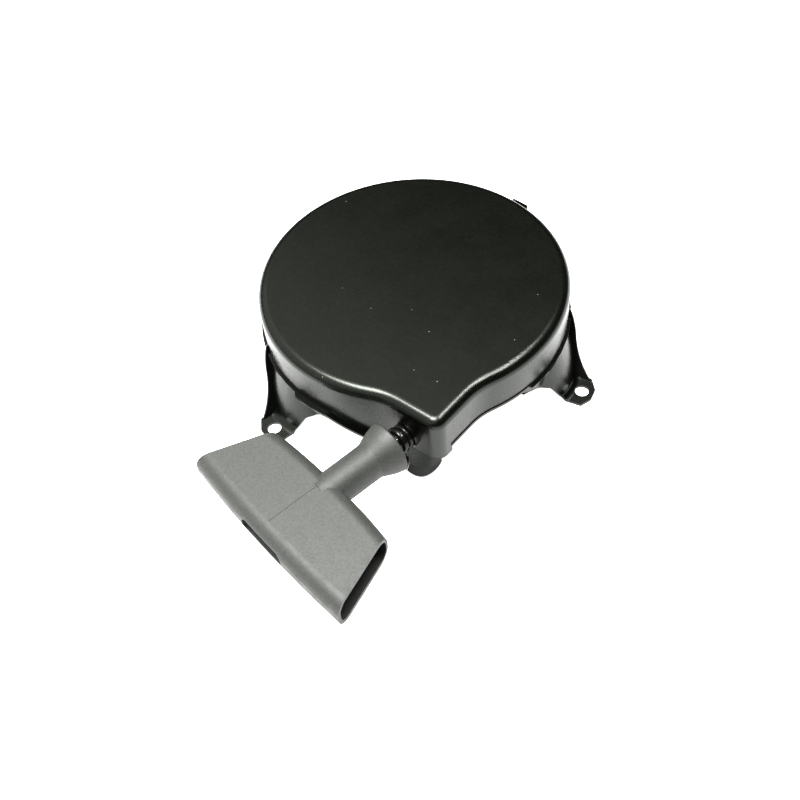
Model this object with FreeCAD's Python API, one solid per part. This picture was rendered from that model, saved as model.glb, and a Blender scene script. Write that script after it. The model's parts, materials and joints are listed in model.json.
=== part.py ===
import FreeCAD, Part
import math
import os

# Recoil starter: pressed-steel teardrop housing on four legs, rope pulley with
# a rewind spring, rope with a T-grip.  Millimetres, +Z up.  The origin is on the
# pulley's axis, in the plane that the feet stand on.  The nose points along -Y.

V = FreeCAD.Vector
UP = V(0, 0, 1)
os.makedirs("parts", exist_ok=True)

# ---- driving dimensions ------------------------------------------------------
TOP_Z = 45.0            # outer face of the flat top
SHEET = 1.3             # steel thickness
SHELL_R = 73.0          # outer radius of the round skirt
TOP_EDGE_R = 4.5        # rounding between top and skirt
SKIRT_Z = 22.5          # bottom edge of the skirt
NOSE_Z = 20.3           # bottom edge of the skirt round the nose
FLANK_Z = 24.0          # bottom edge of the right flank
HEM = 1.3               # outward hem along the round skirt's bottom edge
FLANK_HEM = 0.4
LEFT_HEM = 3.0          # wide lip between the left leg and the nose
LEFT_SLOPE = 0.385      # fall of that lip towards the nose, per mm of X
LEFT_HIGH_X = -46.0     # where it starts to fall

NOSE_VERTEX_Y = -90.5   # where the two flanks would meet
FLANK_DEG = 44.0        # flank's angle to the X axis
TIP_R = 6.0
ROOT_R = 33.0           # hollow blend from flank to round skirt

BOLT_X = 146.0          # leg hole spacing
BOLT_Y = 91.0
HOLE_R = 3.3
LEG_FRONT_AT = 50.0     # a leg's front half is a cone about an upright line this far out
LEG_BACK_AT = 31.0      # its back half is a wider cone
LEG_LOW_R = 80.2        # reach of the wall just above the foot
LEG_SPREAD = 0.28       # and its slope
LEG_TIP_R = 91.6        # pulley's axis to the end of a foot

ROPE_D = 3.6
ROPE_Z = 28.3           # height of the rope and its groove
ROPE_DEG = 215.2        # direction in which the rope leaves the housing
ROPE_R = 57.3           # radius of the outer turn on the pulley
ROPE_PITCH = 3.75
ROPE_TURNS = 5

DISC_R = 61.5           # pulley flanges
DISC_T = 1.1
GROOVE_W = 4.8
GROOVE_R = 36.5         # bottom of the rope groove

PILOT_R = 8.0
RUNNING = 0.05          # radial clearance of the bush on the pilot
BUSH_R = 9.5
HUB_R = 15.0
HUB_BOTTOM_Z = 13.0
HUB_TOP_Z = 41.5
DRIVE_AF = 12.8         # square socket across flats

GRIP_OUTER_HALF = 48.0  # half length of the grip's outer edge
GRIP_INNER_HALF = 35.3  # half length of its stem-side edge
GRIP_START = 29.8       # mouth to stem-side edge
GRIP_DEPTH = 38.7
GRIP_T = 15.6
GRIP_WALL = 2.0
GRIP_EDGE_R = 6.4
STEM_R = 8.2
MOUTH_R = 12.1


# ---- helpers -----------------------------------------------------------------
def unit(deg):
    return V(math.cos(math.radians(deg)), math.sin(math.radians(deg)), 0)


def arc(a, m, b):
    return Part.Arc(a, m, b).toShape()


def line(a, b):
    return Part.LineSegment(a, b).toShape()


def rounded(points, radii, closed=True):
    """Wire through the points, each corner rounded by its radius (0 = sharp)."""
    count = len(points)
    ends = []
    for i, (p, r) in enumerate(zip(points, radii)):
        inner = closed or 0 < i < count - 1
        if not inner or r == 0:
            ends.append((p, None, p))
            continue
        back = (points[i - 1] - p).normalize()
        ahead = (points[(i + 1) % count] - p).normalize()
        half = back.getAngle(ahead) / 2
        reach = r / math.tan(half)
        bisector = (back + ahead).normalize()
        centre = p + bisector * (r / math.sin(half))
        ends.append((p + back * reach, centre - bisector * r, p + ahead * reach))
    edges = []
    for i, (start, mid, end) in enumerate(ends):
        if mid is not None:
            edges.append(arc(start, mid, end))
        if i + 1 < count or closed:
            following = ends[(i + 1) % count][0]
            if (following - end).Length > 1e-6:
                edges.append(line(end, following))
    return Part.Wire(edges)


def revolved(points, radii, at=V(0, 0, 0), angle=360):
    """Solid of revolution about Z through `at`; points are (radius, height)."""
    wire = rounded([V(r, 0, z) for r, z in points], radii)
    solid = Part.Face(wire).revolve(V(0, 0, 0), UP, angle)
    solid.translate(at)
    return solid


def ring(r_in, r_out, z0, z1):
    solid = Part.makeCylinder(r_out, z1 - z0, V(0, 0, z0))
    return solid.cut(Part.makeCylinder(r_in, z1 - z0 + 2, V(0, 0, z0 - 1)))


def block(x0, x1, y0, y1, z0, z1):
    return Part.makeBox(x1 - x0, y1 - y0, z1 - z0, V(x0, y0, z0))


def fuse(shapes):
    result = shapes[0].multiFuse(shapes[1:]) if len(shapes) > 1 else shapes[0]
    return result.removeSplitter()


# ---- teardrop outline --------------------------------------------------------
FLANK = unit(FLANK_DEG)                         # along the right flank
FLANK_OUT = unit(FLANK_DEG - 90)                # its outward normal
FLANK_REACH = FLANK_OUT.dot(V(0, NOSE_VERTEX_Y, 0))
ROOT_ALONG = math.sqrt((SHELL_R + ROOT_R) ** 2 - (FLANK_REACH + ROOT_R) ** 2)
ROOT_CENTRE = FLANK_OUT * (FLANK_REACH + ROOT_R) - FLANK * ROOT_ALONG
TIP_CENTRE = V(0, NOSE_VERTEX_Y + TIP_R / math.cos(math.radians(FLANK_DEG)), 0)


def mirrored(p):
    return V(-p.x, p.y, p.z)


def outline(offset, z):
    """Teardrop wire: round skirt, two hollow blends, two flanks and the tip."""
    lift = V(0, 0, z)
    root_r = ROOT_R - offset
    on_round = ROOT_CENTRE * ((SHELL_R + offset) / ROOT_CENTRE.Length)
    on_flank = ROOT_CENTRE - FLANK_OUT * root_r
    towards = (on_round - ROOT_CENTRE).normalize() + (on_flank - ROOT_CENTRE).normalize()
    root_mid = ROOT_CENTRE + towards.normalize() * root_r
    on_tip = TIP_CENTRE + FLANK_OUT * (TIP_R + offset)
    apex = TIP_CENTRE - V(0, TIP_R + offset, 0)
    far = V(0, SHELL_R + offset, 0)
    edges = [
        arc(on_round + lift, far + lift, mirrored(on_round) + lift),
        arc(mirrored(on_round) + lift, mirrored(root_mid) + lift, mirrored(on_flank) + lift),
        line(mirrored(on_flank) + lift, mirrored(on_tip) + lift),
        arc(mirrored(on_tip) + lift, apex + lift, on_tip + lift),
        line(on_tip + lift, on_flank + lift),
        arc(on_flank + lift, root_mid + lift, on_round + lift),
    ]
    return Part.Wire(edges)


def teardrop(offset, z0, z1, top_round=0):
    solid = Part.Face(outline(offset, z0)).extrude(V(0, 0, z1 - z0))
    if top_round:
        rim = [e for e in solid.Edges if e.BoundBox.ZMin > z1 - 1e-6]
        solid = solid.makeFillet(top_round, rim)
    return solid


# ---- rope line ---------------------------------------------------------------
ROPE_OUT = unit(ROPE_DEG)
TANGENT = unit(ROPE_DEG + 90) * ROPE_R + V(0, 0, ROPE_Z)     # rope leaves the pulley here
LEFT_OUT = mirrored(FLANK_OUT)
FLANK_AT = (FLANK_REACH - LEFT_OUT.dot(TANGENT)) / LEFT_OUT.dot(ROPE_OUT)
EYELET_FACE = TANGENT + ROPE_OUT * FLANK_AT                  # rope crosses the flank here
MOUTH_GAP = 9.8                                              # flank to the grip's mouth
MOUTH = EYELET_FACE + ROPE_OUT * MOUTH_GAP


def along_rope(solid, start):
    """Carry a solid made along +Z from the origin onto the rope's line."""
    solid = solid.copy()
    solid.rotate(V(0, 0, 0), V(0, 1, 0), 90)
    solid.rotate(V(0, 0, 0), UP, ROPE_DEG)
    solid.translate(start)
    return solid


# ---- housing -----------------------------------------------------------------
LEG_HOLE_R = math.hypot(BOLT_X, BOLT_Y) / 2
LEG_DEG = math.degrees(math.atan2(BOLT_Y, BOLT_X))
LEG_ANGLES = (LEG_DEG, 180 - LEG_DEG, 180 + LEG_DEG, 360 - LEG_DEG)


def leg_half(inset, back):
    """Half of a leg: an upright cone that spreads from the skirt's bottom edge down to the foot.

    Made for a leg along +X whose back side is +Y; inset is 0 outside, SHEET inside."""
    c = LEG_BACK_AT if back else LEG_FRONT_AT
    top = SKIRT_Z if inset else SKIRT_Z + SHEET
    wall = [LEG_LOW_R - LEG_SPREAD * (z - 3) - inset - c for z in (SHEET, 3.2, top)]
    if inset:
        points = [(0, -2), (wall[0] + 2.3, -2), (wall[0] + 2.3, 0), (wall[1], 3.2), (wall[2], top), (0, top)]
        radii = [0, 0, 0, 2, 0, 0]
    else:
        points = [(0, 0), (100 - c, 0), (100 - c, SHEET), (wall[0], SHEET), (wall[2], top), (0, top)]
        radii = [0, 0, 0, 4, 0, 0]
    cone = revolved(points, radii, V(c, 0, 0))
    return cone.common(block(0, 100, 0, 60, -5, 70) if back else block(0, 100, -60, 0, -5, 70))


def leg_cone(inset):
    return leg_half(inset, True).fuse(leg_half(inset, False))


WEB_UP = V(0, 0.54, 0.84)     # a leg's back edge is turned up in this direction


def leg_web():
    """Stiffening flange along the back edge, from the foot's corner up to the hem."""
    origin = V(LEG_TIP_R - 3.2, 8.0, 0)
    edge = [(0, 0), (6.4, 7.0), (13.0, 20.2), (16.2, 27.7), (18.6, 31.4)]
    tip, middle, high, crown, top = [origin - V(u, 0, 0) + WEB_UP * v for u, v in edge]
    foot, root = origin - V(11.5, 0, 0), top - V(1.4, 0, 0)
    edges = [arc(tip, middle, high), arc(high, crown, top), line(top, root), line(root, foot), line(foot, tip)]
    return Part.Face(Part.Wire(edges)).extrude(V(0, -WEB_UP.z, WEB_UP.y) * SHEET)


def leg_elevation_mask():
    """What the leg's side edges leave: narrow foot, arches up to the skirt."""
    foot = 8.0
    back_y = foot + SKIRT_Z * WEB_UP.y / WEB_UP.z
    front = [V(60, -foot, -3), V(60, -foot, 2.0), V(60, -12.0, 11.4), V(60, -19.5, 17.4), V(60, -27.0, 21.2),
             V(60, -33, SKIRT_Z), V(60, -33, 40)]
    back = [V(60, 34, 40), V(60, 34, SKIRT_Z), V(60, back_y, SKIRT_Z), V(60, foot, 0), V(60, foot, -3)]
    wire = rounded(front + back, [0, 3, 8, 12, 12, 12, 0, 0, 0, 5, 0, 0])
    return Part.Face(wire).extrude(V(40, 0, 0))


def leg_plan_mask():
    """Clipped corners at the foot's end."""
    half = [V(60, 34, -3), V(67.4, 34, -3), V(LEG_TIP_R - 3.2, 8.0, -3), V(LEG_TIP_R, 3.0, -3)]
    other = [V(p.x, -p.y, p.z) for p in reversed(half)]
    wire = rounded(half + other, [0, 0, 1.2, 1.2, 1.2, 1.2, 0, 0])
    return Part.Face(wire).extrude(V(0, 0, 60))


def turned_to(solid, deg):
    solid = solid.copy()
    solid.rotate(V(0, 0, 0), UP, deg)
    return solid


def leg_volumes(side):
    """Outside and inside of one leg along +X; side is 1 when its back is +Y."""
    mask = leg_elevation_mask().common(leg_plan_mask())
    skirt_below = Part.makeCylinder(SHELL_R, SKIRT_Z + 2, V(0, 0, 0))
    inside = leg_cone(SHEET).common(block(55, 100, -40, 40, -2, SKIRT_Z))
    outside = leg_cone(0).fuse(skirt_below).common(mask).fuse(leg_web())
    pair = [outside, inside]
    if side < 0:
        pair = [solid.mirror(V(0, 0, 0), V(0, 1, 0)) for solid in pair]
    return pair


def tongue():
    """Guard under the eyelet: the left flank runs on down into a rolled lip.

    Each station is (distance along the outline from the tip's centre line,
    wall offset, wall height, lip offset, lip height)."""
    stations = [
        (-1.2, 0.2, 19.6, 0.4, 19.0),
        (1.2, 0.9, 17.8, 1.9, 15.6),
        (4.8, 1.6, 13.6, 3.7, 10.2),
        (8.8, 2.0, 11.6, 4.4, 7.8),
        (13.2, 2.0, 10.4, 4.2, 7.0),
        (17.2, 1.9, 9.8, 3.3, 7.8),
    ]
    wires = []
    for along, out_1, z_1, out_2, z_2 in stations:
        base, normal = left_outline(along)
        profile = [(-0.1, NOSE_Z + 1.4), (out_1, z_1), (out_2, z_2), (out_2 - 0.5, z_2 - 1.1),
                   (out_1 - SHEET, z_1 - 0.9), (0.1 - SHEET, NOSE_Z + 1.4)]
        points = [base + normal * off + V(0, 0, z) for off, z in profile]
        wires.append(Part.makePolygon(points + [points[0]]))
    return Part.makeLoft(wires, True, False)


def left_outline(along):
    """Point and outward normal on the outer outline, left of the tip's centre."""
    quarter = math.radians(90 - (90 - FLANK_DEG))
    bend = TIP_R * quarter
    if along <= bend:
        turn = -90 - math.degrees(along / TIP_R)
        return TIP_CENTRE + unit(turn) * TIP_R, unit(turn)
    start = TIP_CENTRE + LEFT_OUT * TIP_R
    return start + mirrored(FLANK) * (along - bend), LEFT_OUT * 1.0


def left_edge_z(x):
    """Height of the left wall's bottom edge, which falls towards the nose."""
    return SKIRT_Z - LEFT_SLOPE * (x - LEFT_HIGH_X)


def left_band(low, high):
    """Prism along Y between two heights above the left wall's bottom edge."""
    ends = [(-60, SKIRT_Z), (LEFT_HIGH_X, SKIRT_Z), (-13, left_edge_z(-13))]
    points = [V(x, -90, z + low) for x, z in ends] + [V(x, -90, z + high) for x, z in reversed(ends)]
    return Part.Face(Part.makePolygon(points + [points[0]])).extrude(V(0, 52, 0))


def left_wall():
    """The left wall carried down below the round skirt, with its wide lip."""
    wall = teardrop(0, 5, SKIRT_Z + 2).common(left_band(0, 25))
    lip = teardrop(LEFT_HEM, 5, SKIRT_Z + 3).common(left_band(0, SHEET))
    return fuse([wall, lip])


def hem():
    """Narrow outward hem of the round skirt and of the right flank."""
    skirt = teardrop(HEM, SKIRT_Z, SKIRT_Z + SHEET).cut(block(-45, 46, -110, -40, 0, 60))
    flank = teardrop(FLANK_HEM, FLANK_Z, FLANK_Z + SHEET).common(block(6.5, 46, -110, -40, 0, 60))
    return [skirt, flank]


def flank_gap():
    """What is missing below the right flank, whose bottom edge is higher."""
    points = [V(6.5, -110, 5), V(6.5, -110, FLANK_Z), V(36, -110, FLANK_Z), V(46, -110, SKIRT_Z), V(46, -110, 5)]
    return Part.Face(Part.makePolygon(points + [points[0]])).extrude(V(0, 70, 0))


def eyelet_seat():
    """Flat round boss, square to the rope, pressed out of the left flank."""
    return along_rope(Part.makeCylinder(6.4, 4.2), EYELET_FACE - ROPE_OUT * 3.4)


def tang(side):
    """Tab folded in from the skirt's bottom edge, under the pulley's rim."""
    solid = block(57.5, SHELL_R - 0.6, -4.5, 4.5, SKIRT_Z, SKIRT_Z + SHEET)
    return turned_to(solid, 0 if side > 0 else 180)


SPRING_DEG = 15.0        # where the spring's outer turn starts


def spring_slot():
    """Slot in the skirt for the spring's outer end."""
    return spring_tail(0.6).common(ring(SHELL_R - 2 * SHEET, SHELL_R + 0.3, 20, TOP_Z))


def tongue_notch():
    """Slit that separates the tongue from the left wall."""
    base, normal = left_outline(14.5)
    solid = block(-0.4, 0.4, -6, 8, 0, 18.5)
    solid.rotate(V(0, 0, 0), UP, math.degrees(math.atan2(normal.y, normal.x)) - 90)
    solid.translate(base)
    return solid


def housing():
    outer = teardrop(0, SKIRT_Z, TOP_Z, TOP_EDGE_R).cut(flank_gap())
    nose_skirt = teardrop(0, NOSE_Z, SKIRT_Z + 1).common(block(-24, 6.5, -100, -60, 0, 60))
    sides = [(1, a) for a in (LEG_ANGLES[0], LEG_ANGLES[3])] + [(-1, a) for a in LEG_ANGLES[1:3]]
    legs = [[turned_to(solid, angle) for solid in leg_volumes(side)] for side, angle in sides]
    solid = fuse([outer, nose_skirt, left_wall()] + hem() + [leg[0] for leg in legs])
    inner = teardrop(-SHEET, -2, TOP_Z - SHEET, TOP_EDGE_R - SHEET)
    solid = solid.cut(inner.multiFuse([leg[1] for leg in legs]))
    for added in [eyelet_seat(), tongue(), tang(-1), tang(1)]:
        solid = solid.fuse(added)
    solid = solid.cut(tongue_notch())
    solid = solid.cut(along_rope(Part.makeCylinder(4.7, 30), EYELET_FACE - ROPE_OUT * 15))
    for a in LEG_ANGLES:
        solid = solid.cut(Part.makeCylinder(HOLE_R, 8, unit(a) * LEG_HOLE_R - V(0, 0, 2)))
    solid = solid.cut(spring_slot()).removeSplitter()
    return max(solid.Solids, key=lambda piece: piece.Volume)


def rope_eyelet():
    """Steel ferrule: flange inside, two round beads outside, and a nose that meets the grip."""
    back, front = -5.2, MOUTH_GAP + 2.4
    points = [(3.0, back), (6.0, back), (6.0, back + 1.6), (4.6, back + 1.6), (4.6, 0.85),
              (6.0, 0.85), (6.0, 3.0), (5.0, 3.05), (5.0, 3.35), (6.2, 3.4), (6.2, 6.4), (4.7, 6.5),
              (4.7, front), (3.0, front)]
    radii = [0.8, 0.7, 0.7, 0, 0, 0.9, 0.9, 0, 0, 1.1, 1.3, 0, 0.7, 0.8]
    return along_rope(revolved(points, radii), EYELET_FACE)


def tang_bumper(side):
    solid = block(56.5, 64.5, -6.5, 6.5, SKIRT_Z - 1.5, SKIRT_Z + SHEET + 0.7)
    solid = solid.makeFillet(0.6, solid.Edges)
    solid = solid.cut(block(57.4, 70, -4.6, 4.6, SKIRT_Z - 0.05, SKIRT_Z + SHEET + 0.05))
    return turned_to(solid, 0 if side > 0 else 180)


# ---- pulley ------------------------------------------------------------------
GROOVE_TOP = ROPE_Z + GROOVE_W / 2
GROOVE_LOW = ROPE_Z - GROOVE_W / 2
RIVET_R = 2.0
RIVET_CIRCLE = 24.0
RIVET_COUNT = 6


def around(count, radius, start=0):
    return [unit(start + i * 360 / count) * radius for i in range(count)]


def drilled(solid, radius):
    for p in around(RIVET_COUNT, RIVET_CIRCLE):
        solid = solid.cut(Part.makeCylinder(radius, 60, p))
    return solid


def pulley_upper_disc():
    z = GROOVE_TOP
    points = [(HUB_R + 0.05, z), (DISC_R - 2, z), (DISC_R, z + 1.0), (DISC_R, z + 1.0 + DISC_T),
              (DISC_R - 2.4, z + DISC_T), (HUB_R + 0.05, z + DISC_T)]
    return drilled(revolved(points, [0, 2, 0.3, 0.3, 2, 0]), RIVET_R)


def pulley_lower_disc():
    z, low = GROOVE_TOP, GROOVE_LOW
    points = [(HUB_R + 0.05, z - DISC_T), (GROOVE_R - 1.6, z - DISC_T), (GROOVE_R - 1.2, low - DISC_T),
              (DISC_R - 2.4, low - DISC_T), (DISC_R, low - 1.3), (DISC_R, low - 0.2),
              (DISC_R - 2, low), (GROOVE_R, low), (GROOVE_R - 0.4, z), (HUB_R + 0.05, z)]
    solid = revolved(points, [0, 0.6, 1.6, 2, 0.2, 0.2, 2, 0.6, 0.3, 0])
    solid = drilled(solid, RIVET_R)
    end = rope_coil_end()
    for shift in (0, 2.2, 4.4):
        place = end + ROPE_OUT * shift
        solid = solid.cut(Part.makeCylinder(ROPE_D / 2 + 0.7, 20, V(place.x, place.y, low - 12)))
    return solid


def pulley_hub():
    points = [(0, HUB_BOTTOM_Z), (HUB_R, HUB_BOTTOM_Z), (HUB_R, GROOVE_TOP - DISC_T - 2.0),
              (29.0, GROOVE_TOP - DISC_T - 2.0), (29.0, GROOVE_TOP - DISC_T), (HUB_R, GROOVE_TOP - DISC_T),
              (HUB_R, HUB_TOP_Z), (0, HUB_TOP_Z)]
    solid = drilled(revolved(points, [0, 0.8, 0.8, 0.6, 0, 0, 0.5, 0]), RIVET_R)
    solid = solid.cut(Part.makeCylinder(BUSH_R, 30, V(0, 0, 27)))
    half = DRIVE_AF / 2
    return solid.cut(block(-half, half, -half, half, HUB_BOTTOM_Z - 1, 27.5))


def hub_bush():
    """Nylon sleeve pressed into the hub; the pilot runs in it."""
    return ring(PILOT_R + RUNNING, BUSH_R - 0.01, 27.5, HUB_TOP_Z - 0.3)


def rivet(place):
    low = GROOVE_TOP - DISC_T - 2.0
    shank = Part.makeCylinder(RIVET_R - 0.02, DISC_T * 2 + 2.0, place + V(0, 0, low))
    heads = []
    for z, sign in ((low, -1), (GROOVE_TOP + DISC_T, 1)):
        ball = Part.makeSphere(4.2)
        ball.translate(V(place.x, place.y, z - sign * 3.0))
        half_space = block(-90, 90, -90, 90, z if sign > 0 else z - 5, z + 5 if sign > 0 else z)
        heads.append(ball.common(half_space))
    return fuse([shank] + heads)


def pulley_rivets():
    return Part.makeCompound([rivet(p) for p in around(RIVET_COUNT, RIVET_CIRCLE)])


def centre_pilot():
    top = TOP_Z - SHEET
    points = [(0, 28.5), (PILOT_R, 28.5), (PILOT_R, top - 1.3), (16.0, top - 1.3), (16.0, top), (0, top)]
    return revolved(points, [0, 0.8, 0, 0.4, 0, 0])


def thrust_washer():
    return ring(PILOT_R + 0.2, 14.0, HUB_TOP_Z + 0.02, TOP_Z - SHEET - 1.35)


# ---- rewind spring -----------------------------------------------------------
SPRING_T = 0.6
SPRING_Z0 = 33.0
SPRING_Z1 = 42.0
SPRING_TAIL_H = 7.0
SPRING_TAIL = 31.8       # straight stretch from the outer turn out through the skirt
SPRING_HOOK = 8.0        # end folded back along the skirt's outside
SPRING_FOLD_R = 0.6
PACKED = [66.0 - 0.85 * i for i in range(14)]
OPEN = [51.0, 46.0, 40.0, 33.5, 27.0, 21.5, 17.5, 16.0]
SPRING_RADII = PACKED + OPEN


def spiral_centres(radii, start_deg, turn=1):
    """Half-circle arcs of a spiral: (centre, arc radius, start direction)."""
    result = []
    for k in range(len(radii) - 1):
        towards = unit(start_deg + turn * 180 * k)
        result.append((towards * ((radii[k] - radii[k + 1]) / 2), (radii[k] + radii[k + 1]) / 2, towards))
    return result


def spiral_edges(radii, start_deg, side, turn=1):
    edges = []
    for centre, r, towards in spiral_centres(radii, start_deg, turn):
        across = V(-towards.y, towards.x, 0) * turn
        radius = r + side
        edges.append(arc(centre + towards * radius, centre + across * radius, centre - towards * radius))
    return edges


def spring_tail(margin):
    """Outer end: straight out of the outer turn, folded back outside the skirt."""
    half = SPRING_T / 2 + margin
    start = V(SPRING_RADII[0], 0, 0)
    fold = start + V(SPRING_FOLD_R, SPRING_TAIL, 0)
    turn = 154.0
    solid = block(start.x - half, start.x + half, 0, SPRING_TAIL, 0, SPRING_TAIL_H + 2 * margin)
    bend = ring(SPRING_FOLD_R - half, SPRING_FOLD_R + half, 0, SPRING_TAIL_H + 2 * margin) \
        if half < SPRING_FOLD_R else Part.makeCylinder(SPRING_FOLD_R + half, SPRING_TAIL_H + 2 * margin)
    bend = bend.common(block(-5, 5, -0.6, 5, 0, 40))
    bend.translate(fold)
    hook = block(SPRING_FOLD_R - half, SPRING_FOLD_R + half, -SPRING_HOOK, 0, 0, SPRING_TAIL_H + 2 * margin)
    hook.rotate(V(0, 0, 0), UP, 180 - turn)
    hook.translate(fold)
    solid = fuse([solid, bend, hook])
    solid.rotate(V(0, 0, 0), UP, SPRING_DEG)
    solid.translate(V(0, 0, SPRING_Z1 - SPRING_TAIL_H - margin))
    return solid


def rewind_spring():
    outer = spiral_edges(SPRING_RADII, SPRING_DEG, SPRING_T / 2, -1)
    inner = spiral_edges(SPRING_RADII, SPRING_DEG, -SPRING_T / 2, -1)
    start = line(inner[0].firstVertex().Point, outer[0].firstVertex().Point)
    end = line(outer[-1].lastVertex().Point, inner[-1].lastVertex().Point)
    wire = Part.Wire(Part.__sortEdges__([start] + outer + [end] + inner))
    coil = Part.Face(wire).extrude(V(0, 0, SPRING_Z1 - SPRING_Z0))
    coil.translate(V(0, 0, SPRING_Z0))
    return coil.fuse(spring_tail(0)).removeSplitter()


# ---- rope --------------------------------------------------------------------
TANGENT_DEG = ROPE_DEG + 90
COIL_RADII = [ROPE_R - ROPE_PITCH / 2 * i for i in range(ROPE_TURNS * 2 + 1)]
STUB = 4.5               # straight end of the coil past the tangent point
LEAD_START = 6.0         # the lead begins this far past the tangent point
DROP_R = 8.0             # bend of the rope's inner end, down through the disc


def rope_coil_end():
    return unit(TANGENT_DEG) * COIL_RADII[-1] - ROPE_OUT * DROP_R + V(0, 0, ROPE_Z)


def rope_tube(edges, start, direction):
    path = Part.Wire(edges)
    circle = Part.Wire(Part.makeCircle(ROPE_D / 2, start, direction))
    tube = path.makePipeShell([circle], True, True)
    return tube


def rope_coil():
    """Flat coil of half-circle arcs; the inner end drops through the lower disc."""
    lift = V(0, 0, ROPE_Z)
    stub_end = TANGENT + ROPE_OUT * STUB
    edges = [line(stub_end, TANGENT)]
    for centre, r, towards in spiral_centres(COIL_RADII, TANGENT_DEG):
        across = V(-towards.y, towards.x, 0)
        edges.append(arc(centre + towards * r + lift, centre + across * r + lift, centre - towards * r + lift))
    last = unit(TANGENT_DEG) * COIL_RADII[-1] + lift
    bend = last - V(0, 0, DROP_R)
    corner = math.sqrt(0.5) * DROP_R
    edges.append(arc(last, bend - ROPE_OUT * corner + V(0, 0, corner), bend - ROPE_OUT * DROP_R))
    return rope_tube(edges, stub_end, ROPE_OUT * -1)


def knot(centre, radius, height, rope_ends):
    """Pulled-tight overhand knot: a squat ball with two round strands.

    The rope comes in from below and its solid ends flat at height rope_ends."""
    ball = Part.makeSphere(radius)
    strands = [Part.makeTorus(radius * 0.55, ROPE_D / 2 * 0.95, V(0, 0, s * height), V(s * 0.5, 0, 1))
               for s in (-1, 1)]
    solid = fuse([ball] + strands).cut(Part.makeCylinder(ROPE_D / 2, 10, V(0, 0, rope_ends - 10)))
    solid.translate(centre)
    return solid


def pulley_knot():
    solid = knot(V(0, 0, 0), 3.3, 1.1, -3.1)
    solid.rotate(V(0, 0, 0), V(1, 0, 0), 180)
    solid.translate(rope_coil_end() - V(0, 0, DROP_R + 3.1))
    return solid


def rope_lead():
    start = TANGENT + ROPE_OUT * LEAD_START
    length = (MOUTH - start).dot(ROPE_OUT) + KNOT_AT - 3.1
    return along_rope(Part.makeCylinder(ROPE_D / 2, length), start)


# ---- grip --------------------------------------------------------------------
KNOT_AT = GRIP_START + GRIP_WALL + 1.4 + 3.6
BULGE = 1.7              # how far the grip's long edges bow out


def grip_plan(inset, overrun):
    """Trapezoid in plan with bowed long edges; x along the rope, y across."""
    x0, x1 = GRIP_START + inset, GRIP_START + GRIP_DEPTH - inset
    slope = (GRIP_OUTER_HALF - GRIP_INNER_HALF) / GRIP_DEPTH
    y0 = GRIP_INNER_HALF + slope * inset + overrun
    y1 = GRIP_OUTER_HALF - slope * inset + overrun
    z = -GRIP_T / 2 + inset
    edges = [
        arc(V(x0 + BULGE, -y0, z), V(x0, 0, z), V(x0 + BULGE, y0, z)),
        line(V(x0 + BULGE, y0, z), V(x1 - BULGE, y1, z)),
        arc(V(x1 - BULGE, y1, z), V(x1, 0, z), V(x1 - BULGE, -y1, z)),
        line(V(x1 - BULGE, -y1, z), V(x0 + BULGE, -y0, z)),
    ]
    return Part.Wire(edges)


def grip_bar(inset, overrun):
    height = GRIP_T - 2 * inset
    solid = Part.Face(grip_plan(inset, overrun)).extrude(V(0, 0, height))
    long_edges = [e for e in solid.Edges
                  if e.BoundBox.ZLength < 1e-3 and e.BoundBox.YLength > GRIP_INNER_HALF]
    return solid.makeFillet(GRIP_EDGE_R - inset, long_edges)


def grip_stem():
    """Round stem with the flared mouth, made along +Z then laid along x."""
    points = [(0, 0), (MOUTH_R, 0), (10.8, 4.8), (STEM_R + 0.1, 10.8), (STEM_R, GRIP_START + 8),
              (0, GRIP_START + 8)]
    stem = revolved(points, [0, 0.9, 8.0, 0.5, 0, 0])
    stem.rotate(V(0, 0, 0), V(0, 1, 0), 90)
    return stem


def along_x(radius, x0, x1):
    return Part.makeCylinder(radius, x1 - x0, V(x0, 0, 0), V(1, 0, 0))


def handle_grip():
    """Hollow bar open at both ends, stem with a recessed mouth, slot for the knot."""
    solid = fuse([grip_bar(0, 0), grip_stem()])
    solid = solid.cut(grip_bar(GRIP_WALL, 8))
    solid = solid.cut(along_x(9.2, -1, 3.0))
    solid = solid.cut(along_x(ROPE_D / 2 + 0.6, 2, GRIP_START + 8))
    solid = solid.cut(along_x(5.3, GRIP_START + GRIP_WALL, GRIP_START + GRIP_WALL + 6))
    outer_wall = GRIP_START + GRIP_DEPTH
    slot = block(outer_wall - 5, outer_wall + 2, -13, 13, -3.6, 3.6)
    slot = slot.makeFillet(3.0, [e for e in slot.Edges if e.BoundBox.XLength > 6.5])
    witness_line = block(38, 62, -1.1, -0.8, GRIP_T / 2 - 0.15, GRIP_T / 2 + 1)
    solid = solid.cut(slot).cut(witness_line)
    solid.rotate(V(0, 0, 0), UP, ROPE_DEG)
    solid.translate(MOUTH)
    return solid


def handle_washer():
    solid = ring(ROPE_D / 2 + 0.4, 5.0, 0, 1.2)
    return along_rope(solid, MOUTH + ROPE_OUT * (GRIP_START + GRIP_WALL + 0.1))


def handle_knot():
    solid = knot(V(0, 0, 0), 3.4, 1.1, -3.1)
    return along_rope(solid, MOUTH + ROPE_OUT * KNOT_AT)


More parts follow.
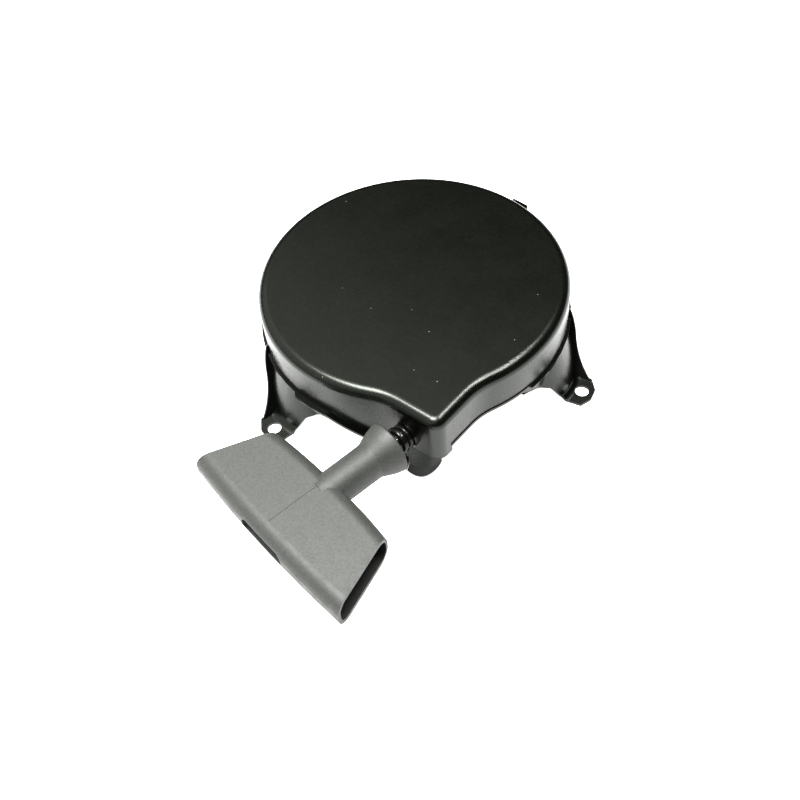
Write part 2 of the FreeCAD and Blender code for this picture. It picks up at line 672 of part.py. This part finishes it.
# ---- export ------------------------------------------------------------------
NODES = {
    "housing": housing,
    "rope_eyelet": rope_eyelet,
    "tang_bumper_left": lambda: tang_bumper(-1),
    "tang_bumper_right": lambda: tang_bumper(1),
    "centre_pilot": centre_pilot,
    "thrust_washer": thrust_washer,
    "rewind_spring": rewind_spring,
    "pulley_upper_disc": pulley_upper_disc,
    "pulley_lower_disc": pulley_lower_disc,
    "pulley_hub": pulley_hub,
    "hub_bush": hub_bush,
    "pulley_rivets": pulley_rivets,
    "rope_coil": rope_coil,
    "pulley_knot": pulley_knot,
    "rope_lead": rope_lead,
    "handle_grip": handle_grip,
    "handle_washer": handle_washer,
    "handle_knot": handle_knot,
}

for name, build in NODES.items():
    shape = build()
    box = shape.BoundBox
    print(name, "valid", shape.isValid(), "solids", len(shape.Solids), "volume %.0f" % shape.Volume,
          "z %.2f..%.2f" % (box.ZMin, box.ZMax))
    shape.exportStep("parts/%s.step" % name)
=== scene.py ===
import json
import math

import bpy
import numpy as np
from mathutils import Matrix, Vector


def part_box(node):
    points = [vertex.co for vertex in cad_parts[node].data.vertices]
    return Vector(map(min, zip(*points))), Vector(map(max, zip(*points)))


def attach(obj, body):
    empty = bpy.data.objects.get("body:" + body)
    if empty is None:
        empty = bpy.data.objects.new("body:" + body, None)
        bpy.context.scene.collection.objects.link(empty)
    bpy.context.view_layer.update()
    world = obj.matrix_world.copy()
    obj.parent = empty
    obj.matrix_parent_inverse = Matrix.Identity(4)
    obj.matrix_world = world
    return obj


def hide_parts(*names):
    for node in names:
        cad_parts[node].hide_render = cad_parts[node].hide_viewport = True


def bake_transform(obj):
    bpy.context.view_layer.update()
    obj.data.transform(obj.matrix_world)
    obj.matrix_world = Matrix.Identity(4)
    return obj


# Recoil starter: black pressed-steel housing on four legs, dark grey T-grip.
# Metres, +Z up, origin on the pulley's axis in the plane that the feet stand on.

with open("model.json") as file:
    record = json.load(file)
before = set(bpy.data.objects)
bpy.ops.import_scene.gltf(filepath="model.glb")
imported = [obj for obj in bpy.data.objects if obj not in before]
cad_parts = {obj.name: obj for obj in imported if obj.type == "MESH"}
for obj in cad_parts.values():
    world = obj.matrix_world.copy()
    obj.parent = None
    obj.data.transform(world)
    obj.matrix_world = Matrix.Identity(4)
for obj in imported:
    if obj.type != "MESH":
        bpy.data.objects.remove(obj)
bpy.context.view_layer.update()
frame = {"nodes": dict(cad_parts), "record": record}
NODES = frame["nodes"]
MM = 0.001

# ---- sizes that repeat the CAD's ----------------------------------------------
ROPE_R = 1.8 * MM
ROPE_Z = 28.3 * MM
ROPE_DEG = 215.2                 # direction in which the rope leaves the housing
ROPE_OUT = Vector((math.cos(math.radians(ROPE_DEG)), math.sin(math.radians(ROPE_DEG)), 0))
COIL_R = 57.3 * MM               # outer turn on the pulley
COIL_PITCH = 3.75 * MM
COIL_TURNS = 5
COIL_STUB = 4.5 * MM
DROP_R = 8.0 * MM
PULL = 1.507                     # travel of the rope at the end of its pull
TANGENT = Vector((33.03, -46.82, 28.3)) * MM
EYELET_FACE = Vector((-12.194, -78.724, 28.3)) * MM
MOUTH = Vector((-20.202, -84.373, 28.3)) * MM


# ---- shader nodes --------------------------------------------------------------
class Shader:
    """One material's node tree; each method adds a node and returns its output."""

    def __init__(self, name, **sockets):
        self.material = bpy.data.materials.new(name)
        self.material.use_nodes = True
        self.tree = self.material.node_tree
        self.surface = self.tree.nodes["Principled BSDF"]
        for socket, value in sockets.items():
            self.surface.inputs[socket.replace("_", " ")].default_value = value
        self.place = self.add("ShaderNodeTexCoord").outputs["Object"]

    def add(self, kind, inputs=None, **settings):
        node = self.tree.nodes.new(kind)
        for key, value in settings.items():
            setattr(node, key, value)
        for key, value in (inputs or {}).items():
            if isinstance(value, bpy.types.NodeSocket):
                self.tree.links.new(value, node.inputs[key])
            else:
                node.inputs[key].default_value = value
        return node

    def stretched(self, scale, rotation=(0, 0, 0)):
        inputs = {"Vector": self.place, "Scale": scale, "Rotation": rotation}
        return self.add("ShaderNodeMapping", inputs).outputs["Vector"]

    def noise(self, scale, detail=3.0, roughness=0.55, vector=None):
        inputs = {"Vector": vector or self.place, "Scale": scale, "Detail": detail, "Roughness": roughness}
        return self.add("ShaderNodeTexNoise", inputs).outputs["Fac"]

    def cells(self, scale, feature="F1", output="Distance", vector=None):
        inputs = {"Vector": vector or self.place, "Scale": scale}
        return self.add("ShaderNodeTexVoronoi", inputs, feature=feature).outputs[output]

    def ranged(self, value, low, high, out_low=0.0, out_high=1.0):
        inputs = {"Value": value, "From Min": low, "From Max": high, "To Min": out_low, "To Max": out_high}
        return self.add("ShaderNodeMapRange", inputs, clamp=True).outputs["Result"]

    def maths(self, operation, a, b=0.0):
        return self.add("ShaderNodeMath", {0: a, 1: b}, operation=operation).outputs[0]

    def mixed(self, factor, a, b):
        inputs = {0: factor, 6: a, 7: b}
        return self.add("ShaderNodeMix", inputs, data_type="RGBA").outputs[2]

    def bump(self, height, distance, strength):
        inputs = {"Height": height, "Distance": distance, "Strength": strength}
        return self.add("ShaderNodeBump", inputs).outputs["Normal"]

    def finish(self, colour, roughness, normal):
        for socket, value in (("Base Color", colour), ("Roughness", roughness), ("Normal", normal)):
            if value is not None:
                self.tree.links.new(value, self.surface.inputs[socket])
        return self.material


def specks(shader, scale, size, share, vector=None):
    """1 inside scattered round spots: one cell in 1/share has one."""
    near = shader.ranged(shader.cells(scale, vector=vector), size, size * 0.6)
    tint = shader.cells(scale, output="Color", vector=vector)
    chosen = shader.maths("LESS_THAN", shader.add("ShaderNodeSeparateColor", {0: tint}).outputs[0], share)
    return shader.maths("MULTIPLY", near, chosen)


def scratches(shader, angle, scale, share):
    """Thin straight marks: cells drawn out along one direction."""
    vector = shader.stretched((0.03, 1.0, 0.3), (0, 0, math.radians(angle)))
    return specks(shader, scale, 0.12, share, vector)


def paint():
    """Semi-gloss black enamel: faint orange peel and grain, dust and fine scratches."""
    s = Shader("black_enamel", Specular_IOR_Level=0.5, Specular_Tint=(0.96, 1.0, 0.93, 1))
    grain = s.ranged(s.noise(700.0, 3.0, 0.6), 0.35, 0.7)
    dust = s.maths("MULTIPLY", specks(s, 330.0, 0.13, 0.030), 0.45)
    marks = s.maths("MAXIMUM", scratches(s, 24, 420.0, 0.010), scratches(s, -8, 300.0, 0.008))
    dirt = s.maths("MAXIMUM", dust, s.maths("MULTIPLY", marks, 0.45))
    colour = s.mixed(grain, (0.0020, 0.0028, 0.0016, 1), (0.0044, 0.0055, 0.0036, 1))
    colour = s.mixed(dirt, colour, (0.24, 0.27, 0.20, 1))
    rough = s.ranged(s.noise(60.0, 4.0, 0.6), 0.3, 0.7, 0.25, 0.29)
    rough = s.maths("ADD", rough, s.maths("MULTIPLY", dirt, 0.5))
    return s.finish(colour, rough, s.bump(s.noise(500.0, 2.0, 0.5), 0.00001, 0.15))


def black_ferrule():
    """Blackened, burnished steel of the rope eyelet."""
    s = Shader("black_ferrule", Metallic=0.35)
    colour = s.mixed(s.noise(300.0, 4.0), (0.006, 0.006, 0.006, 1), (0.022, 0.021, 0.019, 1))
    rough = s.ranged(s.noise(500.0, 4.0), 0.3, 0.7, 0.10, 0.22)
    return s.finish(colour, rough, s.bump(s.noise(1500.0, 3.0), 0.00001, 0.5))


def nylon(name, tone):
    s = Shader(name, Subsurface_Weight=0.15, Subsurface_Scale=0.002, Specular_IOR_Level=0.5)
    colour = s.mixed(s.noise(180.0, 4.0), tone, tuple(c * 0.86 for c in tone[:3]) + (1,))
    rough = s.ranged(s.noise(700.0, 3.0), 0.3, 0.7, 0.38, 0.52)
    return s.finish(colour, rough, s.bump(s.noise(1800.0, 2.0), 0.00002, 0.4))


def turned_steel(name, tone, rings=1400.0):
    """Bright steel with the fine rings of turning and facing about Z."""
    s = Shader(name, Metallic=1.0, Anisotropic=0.3)
    rings_in = {"Vector": s.place, "Scale": rings, "Distortion": 1.2, "Detail": 2.0}
    ring = s.add("ShaderNodeTexWave", rings_in, wave_type="RINGS", rings_direction="Z").outputs["Fac"]
    stain = s.noise(120.0, 5.0, 0.6)
    colour = s.mixed(s.ranged(stain, 0.4, 0.7), tone, tuple(c * 0.62 for c in tone[:3]) + (1,))
    rough = s.ranged(s.maths("ADD", ring, stain), 0.4, 1.5, 0.22, 0.40)
    return s.finish(colour, rough, s.bump(ring, 0.00001, 0.25))


def zinc_plate():
    """Zinc-plated pressed sheet with a faint yellow passivation and handling stains."""
    s = Shader("zinc_plate", Metallic=1.0)
    patch = s.cells(260.0, "SMOOTH_F1")
    stain = s.noise(45.0, 6.0, 0.65)
    colour = s.mixed(s.ranged(stain, 0.35, 0.7), (0.62, 0.60, 0.53, 1), (0.40, 0.37, 0.29, 1))
    colour = s.mixed(s.ranged(patch, 0.2, 0.9, 0.0, 0.35), colour, (0.70, 0.70, 0.68, 1))
    rough = s.ranged(s.maths("ADD", patch, stain), 0.5, 1.3, 0.26, 0.44)
    return s.finish(colour, rough, s.bump(s.noise(800.0, 4.0), 0.00002, 0.4))


def spring_strip():
    """Blued strip steel with rolling lines along the strip."""
    s = Shader("blued_strip", Metallic=1.0)
    lines = s.noise(900.0, 3.0, 0.6, s.stretched((0.02, 0.02, 3.0)))
    stain = s.noise(70.0, 5.0, 0.6)
    colour = s.mixed(s.ranged(stain, 0.35, 0.65), (0.16, 0.18, 0.22, 1), (0.23, 0.20, 0.16, 1))
    rough = s.ranged(lines, 0.3, 0.7, 0.24, 0.38)
    return s.finish(colour, rough, s.bump(lines, 0.00001, 0.5))


def braid():
    """Off-white nylon rope: fibres, soiled hollows and a few darker flecks."""
    s = Shader("nylon_braid", Sheen_Weight=0.4, Sheen_Roughness=0.5, Specular_IOR_Level=0.35)
    fibre = s.noise(3200.0, 3.0, 0.6)
    soil = s.noise(130.0, 5.0, 0.6)
    colour = s.mixed(s.ranged(soil, 0.35, 0.7), (0.60, 0.57, 0.49, 1), (0.36, 0.33, 0.27, 1))
    colour = s.mixed(s.ranged(fibre, 0.35, 0.6, 0.45, 0.0), colour, (0.20, 0.18, 0.15, 1))
    return s.finish(colour, s.ranged(fibre, 0.3, 0.7, 0.55, 0.8), s.bump(fibre, 0.00008, 0.6))


def grip_plastic():
    """Dark grey moulded plastic with a fine spark-eroded grain."""
    s = Shader("grip_plastic", Specular_IOR_Level=0.5)
    grain = s.noise(1500.0, 3.0, 0.6)
    mottle = s.noise(1100.0, 3.0, 0.6)
    scuff = s.maths("MULTIPLY", scratches(s, 60, 330.0, 0.02), 0.35)
    dust = s.maths("MULTIPLY", specks(s, 300.0, 0.06, 0.05), 0.4)
    colour = s.mixed(s.ranged(mottle, 0.3, 0.7), (0.046, 0.048, 0.044, 1), (0.064, 0.067, 0.061, 1))
    colour = s.mixed(s.maths("MAXIMUM", scuff, dust), colour, (0.36, 0.36, 0.33, 1))
    rough = s.ranged(s.noise(200.0, 4.0), 0.3, 0.7, 0.44, 0.56)
    return s.finish(colour, rough, s.bump(grain, 0.00006, 0.5))


def paper():
    """Plain pale floor, the same all over, that glows a little like a light table."""
    s = Shader("pale_floor", Specular_IOR_Level=0.0, Emission_Color=(1, 1, 1, 1), Emission_Strength=0.95)
    colour = s.mixed(s.noise(8.0, 4.0), (0.69, 0.69, 0.69, 1), (0.71, 0.71, 0.71, 1))
    return s.finish(colour, s.ranged(s.noise(300.0, 3.0), 0.3, 0.7, 0.85, 0.95), None)


MATERIALS = {
    "housing_paint": paint(),
    "eyelet_black": black_ferrule(),
    "bumper_nylon": nylon("bumper_nylon", (0.055, 0.055, 0.055, 1)),
    "bush_nylon": nylon("bush_nylon", (0.72, 0.68, 0.58, 1)),
    "pilot_steel": turned_steel("pilot_steel", (0.56, 0.56, 0.55, 1)),
    "washer_steel": turned_steel("washer_steel", (0.48, 0.48, 0.47, 1), 900.0),
    "spring_steel": spring_strip(),
    "pulley_zinc": zinc_plate(),
    "hub_steel": turned_steel("hub_steel", (0.46, 0.45, 0.43, 1)),
    "rope_braid": braid(),
    "grip_plastic": grip_plastic(),
}
for part in frame["record"]["subparts"]:
    mesh = NODES[part["node"]].data
    mesh.materials.clear()
    mesh.materials.append(MATERIALS[part["material_slot"]])


# ---- rope ----------------------------------------------------------------------
def swept(name, points, radius_at, around):
    """Closed tube along points, of radius radius_at(angle, row); its frames don't twist."""
    path = np.array([tuple(p) for p in points])
    ahead = np.gradient(path, axis=0)
    ahead /= np.linalg.norm(ahead, axis=1)[:, None]
    side = np.cross(ahead[0], (0.0, 0.0, 1.0) if abs(ahead[0][2]) < 0.9 else (1.0, 0.0, 0.0))
    side /= np.linalg.norm(side)
    sides = []
    for direction in ahead:
        side = side - direction * side.dot(direction)
        side = side / np.linalg.norm(side)
        sides.append(side)
    sides = np.array(sides)
    ups = np.cross(ahead, sides)
    angles = np.arange(around) * 2 * math.pi / around
    rows = np.arange(len(path))
    radius = radius_at(angles[None, :], rows[:, None])
    ring = np.cos(angles)[None, :, None] * sides[:, None, :] + np.sin(angles)[None, :, None] * ups[:, None, :]
    vertices = path[:, None, :] + ring * radius[:, :, None]
    faces = []
    for row in range(len(path) - 1):
        a, b = row * around, (row + 1) * around
        faces += [(a + i, a + (i + 1) % around, b + (i + 1) % around, b + i) for i in range(around)]
    faces.append(tuple(range(around))[::-1])
    faces.append(tuple((len(path) - 1) * around + i for i in range(around)))
    mesh = bpy.data.meshes.new(name)
    mesh.from_pydata([tuple(v) for v in vertices.reshape(-1, 3)], [], faces)
    mesh.shade_smooth()
    piece = bpy.data.objects.new(name, mesh)
    bpy.context.scene.collection.objects.link(piece)
    mesh.materials.append(MATERIALS["rope_braid"])
    return piece


STRANDS = 6                       # strands of the braid that run each way
LAY = 13.0 * MM                   # length in which a strand goes once round
DEPTH = 0.16                      # relief of the strands, as a share of the radius


def braided(angles, along):
    """Radius of a round braid: two families of strands that pass over and under."""
    u = STRANDS * (angles / (2 * math.pi) + along / LAY)
    v = STRANDS * (angles / (2 * math.pi) - along / LAY)
    over = np.cos(math.pi * (u + v)) * np.cos(math.pi * (u - v))
    crown_u = np.abs(np.cos(math.pi * u)) * (0.75 + 0.25 * over)
    crown_v = np.abs(np.cos(math.pi * v)) * (0.75 - 0.25 * over)
    return ROPE_R * (1 - DEPTH + DEPTH * np.maximum(crown_u, crown_v))


def coil_path(step):
    """Stub, five turns inwards, and the drop through the lower disc."""
    points = [TANGENT + ROPE_OUT * COIL_STUB * (1 - i / 4) for i in range(4)]
    start = math.radians(ROPE_DEG + 90)
    count = int(2 * math.pi * COIL_TURNS * COIL_R / step)
    for i in range(count + 1):
        turn = COIL_TURNS * i / count
        r, angle = COIL_R - COIL_PITCH * turn, start + 2 * math.pi * turn
        points.append(Vector((r * math.cos(angle), r * math.sin(angle), ROPE_Z)))
    centre = points[-1] - Vector((0, 0, DROP_R))
    for i in range(1, 13):
        bend = math.radians(90 * i / 12)
        points.append(centre + Vector((0, 0, DROP_R * math.cos(bend))) - ROPE_OUT * DROP_R * math.sin(bend))
    return points


COIL_STEP = 0.9 * MM
coil = swept("rope_on_pulley", coil_path(COIL_STEP), lambda a, row: braided(a, row * COIL_STEP), 24)
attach(coil, "pulley")
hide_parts("rope_coil")


def middle(node):
    low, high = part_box(node)
    return (low + high) / 2


def lead_path(step, start, length, near, far):
    """Places along the rope, close together where the pull will draw them out.

    Rows are equally far apart once the rope is fully pulled."""
    places = np.linspace(0, length, 6000)
    t = np.clip((places - near) / (far - near), 0, 1)
    pulled = places + PULL * t * t * (3 - 2 * t)
    wanted = np.arange(0, pulled[-1], step)
    at = np.interp(wanted, pulled, places)
    return [start + ROPE_OUT * s for s in at], wanted


LEAD_STEP = 0.7 * MM
lead_start = TANGENT + ROPE_OUT * (COIL_STUB - 0.1 * MM)
lead_length = (middle("handle_knot") - lead_start).dot(ROPE_OUT) - 2.0 * MM
near = (EYELET_FACE - lead_start).dot(ROPE_OUT) - 4.0 * MM
far = near + 14.0 * MM
lead_points, lead_along = lead_path(LEAD_STEP, lead_start, lead_length, near, far)
lead = swept("rope_lead_braided", lead_points, lambda a, row: braided(a, lead_along[row]), 24)
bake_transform(lead)
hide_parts("rope_lead")


def knot(name, centre, axis, body, node):
    """Pulled-tight overhand knot of the same rope, wound about axis."""
    across = axis.cross(Vector((0, 0, 1)) if abs(axis.z) < 0.9 else Vector((1, 0, 0))).normalized()
    third = axis.cross(across)
    size = 1.05 * MM
    count = 150
    points = []
    for i in range(count + 1):
        t = 2 * math.pi * (i / count) * 0.97
        x = math.sin(t) + 1.7 * math.sin(2 * t)
        y = math.cos(t) - 1.7 * math.cos(2 * t)
        z = -1.35 * math.sin(3 * t)
        points.append(centre + axis * (z * size) + across * (x * size) + third * (y * size))
    length = sum((b - a).length for a, b in zip(points, points[1:]))
    step = length / count
    tied = swept(name, points, lambda a, row: braided(a, row * step) * 0.82, 20)
    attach(tied, body)
    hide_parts(node)


knot("knot_in_grip", middle("handle_knot"), ROPE_OUT.copy(), "pull_rope", "handle_knot")
knot("knot_under_pulley", middle("pulley_knot"), Vector((0, 0, -1)), "pulley", "pulley_knot")


# ---- stage ---------------------------------------------------------------------
def sheet(name, half, z):
    mesh = bpy.data.meshes.new(name)
    corners = [(-half, -half, z), (half, -half, z), (half, half, z), (-half, half, z)]
    mesh.from_pydata(corners, [], [(0, 1, 2, 3)])
    piece = bpy.data.objects.new(name, mesh)
    bpy.context.scene.collection.objects.link(piece)
    return piece


floor = sheet("studio_floor", 4.0, -0.0002)
floor.data.materials.append(paper())


def softbox(name, place, size, watts):
    """Rectangular lamp that faces the origin."""
    light = bpy.data.lights.new(name, "AREA")
    light.shape = "RECTANGLE"
    light.size, light.size_y = size
    light.energy = watts
    lamp = bpy.data.objects.new(name, light)
    aim = Vector(place).to_track_quat("Z", "Y").to_matrix().to_4x4()
    lamp.matrix_world = Matrix.Translation(place) @ aim
    bpy.context.scene.collection.objects.link(lamp)


softbox("overhead", (-0.26, 0.00, 1.35), (0.70, 0.70), 48.0)
softbox("side_strip", (0.50, 0.16, 1.17), (0.70, 0.14), 14.0)

# Sky: bright overhead and to the left, dark low down, and white where the camera sees it.
world = bpy.data.worlds.new("studio")
world.use_nodes = True
sky_tree = world.node_tree
sky = sky_tree.nodes["Background"]
sky.inputs["Color"].default_value = (1, 1, 1, 1)
direction = sky_tree.nodes.new("ShaderNodeTexCoord")
towards_window = sky_tree.nodes.new("ShaderNodeVectorMath")
towards_window.operation = "DOT_PRODUCT"
towards_window.inputs[1].default_value = (-0.6, 0.0, 1.0)
glow = sky_tree.nodes.new("ShaderNodeMapRange")
for socket, value in (("From Min", 0.64), ("From Max", 0.77), ("To Min", 0.04), ("To Max", 1.90)):
    glow.inputs[socket].default_value = value
sky_tree.links.new(direction.outputs["Generated"], towards_window.inputs[0])
sky_tree.links.new(towards_window.outputs["Value"], glow.inputs["Value"])
seen = sky_tree.nodes.new("ShaderNodeLightPath")
strength = sky_tree.nodes.new("ShaderNodeMath")
strength.operation = "MAXIMUM"
sky_tree.links.new(glow.outputs["Result"], strength.inputs[0])
sky_tree.links.new(seen.outputs["Is Camera Ray"], strength.inputs[1])
sky_tree.links.new(strength.outputs[0], sky.inputs["Strength"])
bpy.context.scene.world = world
bpy.context.scene.view_settings.view_transform = "Standard"
bpy.context.scene.view_settings.gamma = 0.72      # strong contrast of a product shot

camera_data = bpy.data.cameras.new("camera")
camera_data.lens = 45.0
camera_data.sensor_width = 36.0
camera_data.clip_start = 0.01
camera = bpy.data.objects.new("camera", camera_data)
right = Vector((0.99271, -0.10312, -0.06234))
up = Vector((0.11938, 0.77104, 0.6257))
back = -Vector((0.01646, 0.62849, -0.7777))
axes = Matrix((right, up, back)).transposed().to_4x4()
camera.matrix_world = Matrix.Translation(Vector((-20.57, -336.89, 371.25)) * MM) @ axes
bpy.context.scene.collection.objects.link(camera)
bpy.context.scene.camera = camera
